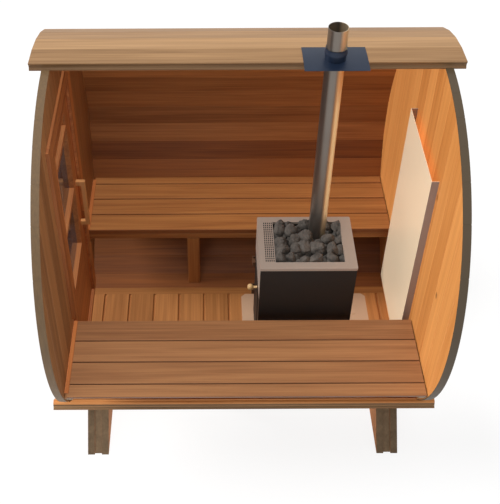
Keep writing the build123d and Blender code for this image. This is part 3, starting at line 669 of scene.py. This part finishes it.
class SAUNA_OT_stones(bpy.types.Operator):
    """Heap loose split stones in the stove's well"""

    bl_idname = "sauna.stones"
    bl_label = "Stones"

    def execute(self, context):
        size = context.scene.sauna_stones
        look = context.scene.sauna_metals
        rng = np.random.default_rng(size.seed)
        low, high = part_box("stove_stones")
        rim_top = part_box("stove_rim")[1].z
        pipe = middle("flue_pipe")
        pipe_size = pipe_radius()
        points, faces, count = [], [], 0
        half = (high - low) / 2
        centre = (high + low) / 2
        for layer, drop in enumerate((75 * MM, 38 * MM, 2 * MM)):
            apart = size.spacing
            for x in np.arange(low.x + apart * (0.5 + 0.25 * (layer % 2)), high.x, apart):
                for y in np.arange(low.y + apart * 0.5, high.y, apart):
                    at = np.array([x, y, 0.0]) + rng.uniform(-0.25, 0.25, 3) * apart
                    scale = rng.uniform(size.smallest, size.largest)
                    scale = scale * np.array([1.0, *rng.uniform(0.75, 1.0, 2)])
                    turn = np.array(Matrix.Rotation(rng.uniform(0, 2 * math.pi), 3, "Z"))
                    stone = stone_points(rng, size.flats) * scale @ turn.T
                    near = np.hypot(at[0] - pipe.x, at[1] - pipe.y) - pipe_size
                    if near < 0.7 * size.smallest:
                        continue
                    share = 1 - max(abs(at[0] - centre.x) / half.x, abs(at[1] - centre.y) / half.y) ** 2
                    crown = 0.6 * (high.z - rim_top) * max(share, 0.0)
                    at[2] = rim_top - drop + crown - 10 * MM + rng.uniform(-4, 4) * MM
                    body = stone + at
                    margin = 1.5 * MM
                    body[:, 0] = np.clip(body[:, 0], low.x + margin, high.x - margin)
                    body[:, 1] = np.clip(body[:, 1], low.y + margin, high.y - margin)
                    points.append(body)
                    faces.append(grid_faces(STONE_ROWS, STONE_COLUMNS, count))
                    count += len(body)
        material = split_stone("split olivine", tuple(look.stone_pale), tuple(look.stone_dark))
        points, faces = np.concatenate(points), np.concatenate(faces)
        heap = new_piece("loose_stones", points, faces, material, "shell", "stone")
        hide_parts("stove_stones")
        return {"FINISHED"}


# Small pieces


def bars(spans):
    """Closed boxes from an array of low and high corners, with their faces looking out."""
    low, high = np.array(spans, float).transpose(1, 0, 2)
    pick = np.array([[i & 1, i >> 1 & 1, i >> 2 & 1] for i in range(8)])
    points = np.where(pick[None], high[:, None], low[:, None]).reshape(-1, 3)
    sides = np.array([(0, 2, 3, 1), (4, 5, 7, 6), (0, 1, 5, 4), (2, 6, 7, 3), (0, 4, 6, 2), (1, 3, 7, 5)])
    return points, (sides[None] + 8 * np.arange(len(low))[:, None, None]).reshape(-1, 4)


class SaunaKnob(bpy.types.PropertyGroup):
    """The firebox door's knob."""

    colour_pale: colour_property("Pale", "Oiled birch", "#E4C696")
    colour_dark: colour_property("Dark", "Oiled birch", "#C09A66")
    sides: IntProperty(name="Sides", description="Points round the knob", default=40, min=8)
    flat: FloatProperty(
        name="Flat", description="Share of the ball cut off at its tip", default=0.06, min=0, max=0.5
    )


class SAUNA_OT_knob(bpy.types.Operator):
    """Turn a smooth birch knob in place of the faceted one"""

    bl_idname = "sauna.knob"
    bl_label = "Knob"

    def execute(self, context):
        look = context.scene.sauna_knob
        low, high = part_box("firebox_knob")
        ball = (high.z - low.z) / 2
        stem = 6 * MM
        reach = high.x - low.x
        t = np.linspace(math.asin(stem / ball), math.pi - math.acos(1 - 2 * look.flat), 22)
        neck = reach - ball - ball * math.cos(math.asin(stem / ball))
        profile = [(0, 0), (stem * 1.25, 0), (stem * 1.25, 1.5 * MM), (stem, 2.5 * MM), (stem, neck)]
        profile += [(ball * math.sin(a), reach - ball - ball * math.cos(a)) for a in t]
        profile += [(0, profile[-1][1])]
        foot = (high.x, (low.y + high.y) / 2, (low.z + high.z) / 2)
        points = placed(turned(profile, look.sides), foot, (-1, 0, 0))
        faces = grid_faces(len(profile), look.sides)
        tones = {"face": (tuple(look.colour_pale), tuple(look.colour_dark))}
        layout = partial(straight_layout, along="X", across="Z", ends=False)
        birch = wood("turned birch knob", layout, tones, seed=77.0, roughness=0.35, knots=0.0)
        knob = new_piece("birch_knob", points, faces, birch, "stove_door", "knob_wood", smooth=True)
        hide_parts("firebox_knob")
        return {"FINISHED"}


class SaunaGrille(bpy.types.PropertyGroup):
    """The perforated vent in the rim."""

    width: FloatProperty(name="Width", description="Across the vent", subtype="DISTANCE", default=49 * MM)
    web: FloatProperty(name="Web", description="Between two holes", subtype="DISTANCE", default=4.2 * MM)
    rows: IntProperty(name="Rows", description="Holes along the vent", default=18, min=2)
    columns: IntProperty(name="Columns", description="Holes across the vent", default=5, min=2)


class SAUNA_OT_grille(bpy.types.Operator):
    """Lay a perforated sheet over the rim's vent, with a black sheet under it as painted shade in its holes
    """

    bl_idname = "sauna.grille"
    bl_label = "Vent"

    def execute(self, context):
        size = context.scene.sauna_grille
        well_low, well_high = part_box("stove_stones")
        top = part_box("stove_rim")[1].z
        x = (well_low.x - 3 * MM - size.width, well_low.x - 3 * MM)
        y = (well_low.y, well_high.y)
        half = size.web / 2
        low, high = top + 0.5 * MM, top + 1.5 * MM
        posts = np.linspace(*x, size.columns + 1)
        spans = [((a - half, y[0] - half, low), (a + half, y[1] + half, high)) for a in posts]
        level = high - 0.2 * MM
        rungs = np.linspace(*y, size.rows + 1)
        spans += [((x[0], b - half, low + 0.2 * MM), (x[1], b + half, level)) for b in rungs]
        steel = metal("perforated stainless vent", tuple(context.scene.sauna_metals.rim), 0.4, metallic=0.3)
        new_piece("vent_sheet", *bars(spans), steel, "shell", "rim_steel")
        # Painted shade: a black sheet under the holes, where the vent's depth would be dark
        black = metal("blackened vent backing", tuple(context.scene.sauna_metals.stove), 0.7, metallic=0.0)
        backing = [((x[0], y[0], top + 0.1 * MM), (x[1], y[1], top + 0.4 * MM))]
        new_piece("vent_backing", *bars(backing), black, "shell", "stove_steel")
        return {"FINISHED"}


class SaunaSheets(bpy.types.PropertyGroup):
    """The pale plate on the stove's black side over its door, a painted sheen, and the flue's storm collar.
    """

    plate: FloatProperty(name="Plate", description="Its thickness", subtype="DISTANCE", default=1.5 * MM)
    plate_foot: FloatProperty(
        name="Plate's foot", description="How far it reaches down", subtype="DISTANCE", default=205 * MM
    )
    collar: FloatProperty(name="Collar", description="Its height", subtype="DISTANCE", default=26 * MM)


class SAUNA_OT_sheets(bpy.types.Operator):
    """Fit the pale plate over the firebox door as a painted sheen on the stove's side, and the storm collar
    over the flashing
    """

    bl_idname = "sauna.sheets"
    bl_label = "Plate and storm collar"

    def execute(self, context):
        size = context.scene.sauna_sheets
        look = context.scene.sauna_metals
        low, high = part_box("stove_body")
        face, inset = low.x - 0.2 * MM, 1 * MM
        foot = (face - size.plate, low.y + inset, high.z - size.plate_foot)
        span = (foot, (face, high.y - inset, high.z))
        # Painted sheen: a pale steel plate where the stove's black side reflects the light
        steel = metal("brushed stainless plate", tuple(look.rim), 0.4, metallic=0.2, brushed=0.1)
        new_piece("door_side_plate", *bars([span]), steel, "shell", "rim_steel")

        pipe = middle("flue_pipe")
        radius = pipe_radius()
        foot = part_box("roof_flashing")[1].z + 0.4 * MM
        inner, lip, foot_out = radius + 0.3 * MM, radius + 1.4 * MM, radius + 5 * MM
        profile = [(foot_out, 0), (foot_out, 3 * MM), (lip, size.collar - 6 * MM)]
        profile += [(lip, size.collar), (inner, size.collar), (inner, 0), (foot_out, 0)]
        sides = 64
        points = placed(turned(profile, sides), (pipe.x, pipe.y, foot), (0, 0, 1))
        sheet = metal("coated steel storm collar", tuple(look.flashing), 0.4, metallic=0.3, wear=0.2)
        new_piece("storm_collar", points, grid_faces(len(profile), sides), sheet, "shell", "flashing_sheet")
        return {"FINISHED"}


class SaunaEdge(bpy.types.PropertyGroup):
    """The drip strip under the near edge of the lowest stave, dark with the painted shade of the stave edges,
    standing for the shaded lower lip of that edge.
    """

    proud: FloatProperty(name="Proud", description="Off the staves", subtype="DISTANCE", default=11 * MM)
    width: FloatProperty(name="Width", description="Round the barrel", subtype="DISTANCE", default=30 * MM)


class SAUNA_OT_edge(bpy.types.Operator):
    """Fix a drip strip along the near edge: (r cos a, r sin a) at two radii and two angles, along X"""

    bl_idname = "sauna.edge"
    bl_label = "Drip strip"

    def execute(self, context):
        size = context.scene.sauna_edge
        look = context.scene.sauna_woods
        low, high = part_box("near_lower_staves")
        start = math.pi + math.asin((AXIS.z - high.z) / INNER_RADIUS)
        inner = math.hypot(low.y - AXIS.y, (low.y - AXIS.y) * math.tan(start - math.pi)) + 0.3 * MM
        angle = start + np.array([0, 0, 1, 1]) * size.width / inner
        reach = inner + np.array([0, 1, 1, 0]) * size.proud
        corner = np.stack([AXIS.y + reach * np.cos(angle), AXIS.z + reach * np.sin(angle)], -1)
        ends = np.array([low.x, high.x])
        points = np.concatenate([np.column_stack([np.full(4, x), corner]) for x in ends])
        faces = np.array([(0, 1, 2, 3), (7, 6, 5, 4), (0, 4, 5, 1), (1, 5, 6, 2), (2, 6, 7, 3), (3, 7, 4, 0)])
        # The strip takes the staves' painted edge shade
        tones = tones_of(look, face=("edge_pale", "edge_dark"))
        level = partial(straight_layout, along="X", across="Z", ends=False)
        strip = wood("planed larch drip strip", level, tones, seed=71.0, knots=0.0)
        new_piece("drip_strip", points, faces, strip, "shell", "stave_wood")
        return {"FINISHED"}


class SaunaTongues(bpy.types.PropertyGroup):
    """The strips in the gaps between the floor slats."""

    sunk: FloatProperty(name="Sunk", description="Under the slats' tops", subtype="DISTANCE", default=5 * MM)
    gap: FloatProperty(name="Gap", description="Between two slats", subtype="DISTANCE", default=12 * MM)
    colour_pale: colour_property("Pale", "Early wood", "#B87840")
    colour_dark: colour_property("Dark", "Late wood", "#965A2C")


class SAUNA_OT_tongues(bpy.types.Operator):
    """Lay a strip in each gap of the floor"""

    bl_idname = "sauna.tongues"
    bl_label = "Floor strips"

    def execute(self, context):
        size = context.scene.sauna_tongues
        low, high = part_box("floor_slats")
        start = -WALL_IN + FIRST_SLAT
        count = int((high.x - start) / SLAT_PITCH) + 1
        middles = start + SLAT_PITCH * np.arange(count)
        half = size.gap / 2 - 0.3 * MM
        level = (low.z + 2 * MM, high.z - size.sunk)
        across = (low.y + 1 * MM, high.y - 1 * MM)
        spans = [((m - half, across[0], level[0]), (m + half, across[1], level[1])) for m in middles]
        tones = {"face": (tuple(size.colour_pale), tuple(size.colour_dark))}
        layout = partial(straight_layout, along="Y", across="X", ends=False)
        aspen = wood("planed aspen floor strips", layout, tones, seed=95.0, knots=0.0)
        new_piece("floor_strips", *bars(spans), aspen, "shell", "floor_wood")
        return {"FINISHED"}


class SaunaBattens(bpy.types.PropertyGroup):
    """The battens that close the benches' ends at the door wall."""

    width: FloatProperty(name="Width", description="Along the bench", subtype="DISTANCE", default=20 * MM)
    rise: FloatProperty(name="Rise", description="Over the boards", subtype="DISTANCE", default=4 * MM)
    colour_pale: colour_property("Pale", "Early wood", "#C87C40")
    colour_dark: colour_property("Dark", "Late wood", "#A45C2A")


class SAUNA_OT_battens(bpy.types.Operator):
    """Lay a batten on each bench's end at the door wall"""

    bl_idname = "sauna.battens"
    bl_label = "Bench battens"

    def execute(self, context):
        size = context.scene.sauna_battens
        tones = {"face": (tuple(size.colour_pale), tuple(size.colour_dark))}
        layout = partial(straight_layout, along="Y", across="X", ends=False)
        spruce = wood("planed spruce battens", layout, tones, seed=90.0, knots=0.0)
        short = 22 * MM
        for side in ("rear", "front"):
            low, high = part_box(f"{side}_bench_boards")
            ends = (low.y, high.y - short) if side == "rear" else (low.y + short, high.y)
            start = -WALL_IN + 0.5 * MM
            spans = [((start, ends[0], high.z + 0.3 * MM), (start + size.width, ends[1], high.z + size.rise))]
            points, faces = bars(spans)
            batten = new_piece(f"{side}_bench_batten", points, faces, spruce, "shell", "bench_wood")
            edge = batten.modifiers.new("arris", "BEVEL")
            edge.width = 1.5 * MM
            edge.segments = 2
        return {"FINISHED"}


# Stage


# What shades the top light. The roof, walls and stove don't, so that the inside is evenly lit
SHADOW_MAKERS = (
    "bottom_staves",
    "lower_back_staves",
    "floor_slats",
    "rear_bench_boards",
    "rear_bench_fascia",
    "rear_bench_post",
    "front_bench_boards",
    "front_bench_fascia",
    "front_bench_post",
)


class SaunaStage(bpy.types.PropertyGroup):
    """Light, floor and camera."""

    top: FloatProperty(name="Top light", description="Light that few pieces shade", default=2.9, min=0)
    key: FloatProperty(name="Key light", description="Light that all pieces shade", default=0.4, min=0)
    fill: FloatProperty(name="Fill", description="Light from all round", default=0.5, min=0)
    softness: FloatProperty(
        name="Softness", description="Apparent size of the lights", subtype="ANGLE", default=math.radians(30)
    )
    floor: colour_property("Floor", "Pale floor", "#F8F8F8")
    pale: FloatProperty(
        name="Pale", description="Share of the floor's white of its own", default=0.82, min=0, max=1
    )
    focal: FloatProperty(name="Focal length", description="In millimetres", default=65.116)
    shift: FloatVectorProperty(
        name="Shift", description="Sideways and up, in picture heights", size=2, default=(0.08353, -0.02381)
    )
    pitch: FloatProperty(
        name="Pitch", description="How far it looks down", subtype="ANGLE", default=math.radians(43.834)
    )
    roll: FloatProperty(name="Roll", description="Camera roll", subtype="ANGLE", default=math.radians(-0.280))
    station: FloatVectorProperty(
        name="Station", description="Where it stands", subtype="XYZ", default=(-0.1759, -3.4130, 4.1035)
    )


def seen_rays(add):
    """1 for camera, glossy and transmission rays, which see the background white."""
    path = add("ShaderNodeLightPath")
    seen = add("ShaderNodeMath", {0: path["Is Camera Ray"], 1: path["Is Glossy Ray"]}, operation="MAXIMUM")[0]
    return add("ShaderNodeMath", {0: seen, 1: path["Is Transmission Ray"]}, operation="MAXIMUM")[0]


class SAUNA_OT_stage(bpy.types.Operator):
    """Set the floor, lights and camera"""

    bl_idname = "sauna.stage"
    bl_label = "Stage"

    def execute(self, context):
        set_up = context.scene.sauna_stage
        scene = context.scene
        scene.view_settings.view_transform = "Standard"

        material, add = new_material("pale floor")
        matt = add("ShaderNodeBsdfDiffuse", {"Color": tuple(set_up.floor)})[0]
        pale = add("ShaderNodeEmission", {"Color": tuple(set_up.floor), "Strength": 1.1})[0]
        share = add("ShaderNodeMath", {0: seen_rays(add), 1: set_up.pale}, operation="MULTIPLY")[0]
        shader = add("ShaderNodeMixShader", {0: share, 1: matt, 2: pale})[0]
        add("ShaderNodeOutputMaterial", {"Surface": shader})
        mesh = bpy.data.meshes.new("floor")
        reach = 60.0
        corners = [(-reach, -reach, 0), (reach, -reach, 0), (reach, reach, 0), (-reach, reach, 0)]
        mesh.from_pydata(corners, [], [(0, 1, 2, 3)])
        mesh.materials.append(material)
        floor = bpy.data.objects.new("floor", mesh)
        scene.collection.objects.link(floor)

        world = bpy.data.worlds.new("studio")
        scene.world = world
        world.use_nodes = True
        world.node_tree.nodes.clear()
        add = partial(add_node, world.node_tree)
        level = add("ShaderNodeMix", {0: seen_rays(add), 2: set_up.fill, 3: 1.0})[0]
        sky = add("ShaderNodeBackground", {"Color": (1.0, 1.0, 1.0, 1.0), "Strength": level})[0]
        add("ShaderNodeOutputWorld", {"Surface": sky})

        makers = bpy.data.collections.new("shadow makers")
        for name in SHADOW_MAKERS:
            makers.objects.link(NODES[name])
        suns = {
            "top": (set_up.top, (0.76, -0.12, -0.64), makers),
            "key": (set_up.key, (0.3, 0.6, -0.74), None),
        }
        for name, (strength, way, blockers) in suns.items():
            lamp = bpy.data.lights.new(name, "SUN")
            lamp.energy = strength
            lamp.angle = set_up.softness
            sun = bpy.data.objects.new(name, lamp)
            sun.rotation_euler = Vector(way).to_track_quat("-Z", "Y").to_euler()
            sun.light_linking.blocker_collection = blockers
            scene.collection.objects.link(sun)

        lens = bpy.data.cameras.new("camera")
        lens.sensor_width = 36.0
        lens.lens = set_up.focal
        lens.shift_x, lens.shift_y = set_up.shift
        camera = bpy.data.objects.new("camera", lens)
        tilt = Matrix.Rotation(math.pi / 2 - set_up.pitch, 4, "X") @ Matrix.Rotation(set_up.roll, 4, "Z")
        camera.matrix_world = Matrix.Translation(set_up.station) @ tilt
        scene.collection.objects.link(camera)
        scene.camera = camera
        return {"FINISHED"}


class SAUNA_PT_panel(bpy.types.Panel):
    """The sauna's pieces in the sidebar"""

    bl_idname = "SAUNA_PT_panel"
    bl_label = "Barrel sauna"
    bl_space_type = "VIEW_3D"
    bl_region_type = "UI"
    bl_category = "Sauna"

    def draw(self, context):
        for operator in OPERATORS:
            self.layout.operator(operator.bl_idname)
        for group in GROUPS:
            settings = getattr(context.scene, group)
            for key in settings.bl_rna.properties.keys():
                if key not in ("rna_type", "name"):
                    self.layout.prop(settings, key)


GROUPS = {
    "sauna_woods": SaunaWoods,
    "sauna_metals": SaunaMetals,
    "sauna_stones": SaunaStones,
    "sauna_knob": SaunaKnob,
    "sauna_grille": SaunaGrille,
    "sauna_sheets": SaunaSheets,
    "sauna_edge": SaunaEdge,
    "sauna_tongues": SaunaTongues,
    "sauna_battens": SaunaBattens,
    "sauna_stage": SaunaStage,
}
OPERATORS = (
    SAUNA_OT_barrel,
    SAUNA_OT_joinery,
    SAUNA_OT_metals,
    SAUNA_OT_stones,
    SAUNA_OT_knob,
    SAUNA_OT_grille,
    SAUNA_OT_sheets,
    SAUNA_OT_edge,
    SAUNA_OT_tongues,
    SAUNA_OT_battens,
    SAUNA_OT_stage,
)


def register():
    """Registers the classes and gives the scene its settings."""
    for kind in (*GROUPS.values(), *OPERATORS, SAUNA_PT_panel):
        bpy.utils.register_class(kind)
    for name, kind in GROUPS.items():
        setattr(bpy.types.Scene, name, PointerProperty(type=kind))


def unregister():
    """Takes the settings and the classes away."""
    for name in GROUPS:
        delattr(bpy.types.Scene, name)
    for kind in (SAUNA_PT_panel, *reversed(OPERATORS), *reversed(tuple(GROUPS.values()))):
        bpy.utils.unregister_class(kind)


def main():
    """Makes every piece in order."""
    register()
    bpy.ops.sauna.barrel()
    bpy.ops.sauna.joinery()
    bpy.ops.sauna.metals()
    bpy.ops.sauna.stones()
    bpy.ops.sauna.knob()
    bpy.ops.sauna.grille()
    bpy.ops.sauna.sheets()
    bpy.ops.sauna.edge()
    bpy.ops.sauna.tongues()
    bpy.ops.sauna.battens()
    bpy.ops.sauna.stage()


if __name__ == "__main__":
    main()
